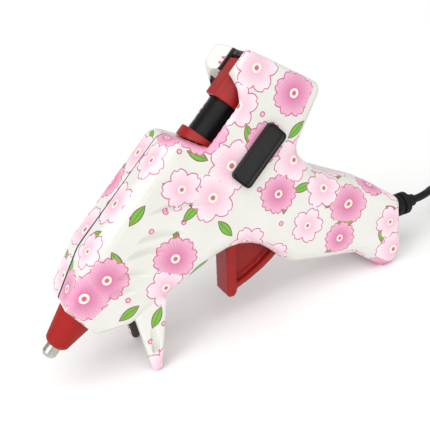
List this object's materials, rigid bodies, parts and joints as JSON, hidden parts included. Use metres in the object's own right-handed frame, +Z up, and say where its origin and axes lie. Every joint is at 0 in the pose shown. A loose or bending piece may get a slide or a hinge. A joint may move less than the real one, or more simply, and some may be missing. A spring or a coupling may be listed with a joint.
{
  "type": "hot glue gun",
  "caption": "Small trigger-fed hot-melt glue gun resting nose down on its moulded legs, with a flower-patterned shell, red trigger and mains cord.",
  "frame": {"origin": "on the resting surface, under the middle of the gun's box without its cord", "axes": "+X from the nozzle towards the cord's outlet, +Y towards the right half with the screw heads, +Z up"},
  "size_m": [0.3245, 0.0376, 0.1092],
  "materials": {
    "shell": "moulded, glossy, printed",
    "steel": "bright",
    "label": "satin",
    "nozzle_metal": "turned",
    "silicone": "matte",
    "aluminium": "cast",
    "ceramic": "matte",
    "film": "satin",
    "black_plastic": "glossy",
    "red_plastic": "satin",
    "boot": "matte",
    "cord": "satin",
    "lead": "matte",
    "plug": "satin",
    "pin_metal": "bright"
  },
  "bodies": {
    "gun": {"left_housing": "shell", "right_housing": "shell", "housing_screws": "steel", "label_plate": "label", "nozzle": "nozzle_metal", "nozzle_shroud": "silicone", "melt_chamber": "aluminium", "heater_tablet": "ceramic", "heater_insulator": "film", "heater_clip": "steel", "stick_sleeve": "black_plastic", "sleeve_clamp": "steel", "sleeve_collar": "red_plastic", "inlet_ring": "black_plastic", "pivot_pin": "steel", "return_spring": "steel", "strain_relief": "boot", "inner_cord": "cord", "cord_clamp": "black_plastic", "clamp_screws": "steel", "lead_joints": "ceramic", "heater_leads": "lead", "cord_lead": "cord", "cord_coil": "cord", "cord_tail": "cord", "cord_tie": "black_plastic", "plug_body": "plug", "plug_pins": "pin_metal"},
    "trigger": {"trigger": "red_plastic", "drive_pin": "steel"},
    "carriage": {"feed_carriage": "red_plastic", "jaw_pin": "steel"},
    "jaw": {"grip_jaw": "steel"}
  },
  "joints": [
    {"name": "carriage_feed", "type": "slide", "parent": "gun", "child": "carriage", "axis": [-0.7771, 0, -0.6293], "range_m": [0, 0.00748]},
    {"name": "trigger_pull", "type": "hinge", "parent": "gun", "child": "trigger", "pos_m": [-0.00925, 0, 0.04308], "axis": [0, -1, 0], "range_deg": [0, 24], "stiffness_Nm_per_rad": 0.3, "springref_deg": -17.19, "deforming": ["return_spring"]},
    {"name": "jaw_grip", "type": "hinge", "parent": "carriage", "child": "jaw", "pos_m": [0.01652, 0, 0.09277], "axis": [0, 1, 0], "range_deg": [0, 6], "stiffness_Nm_per_rad": 0.0005, "springref_deg": -8.59}
  ],
  "couplings": [
    {"joint": "trigger_pull", "follows": "carriage_feed", "rad_per_m": 55.964}
  ]
}
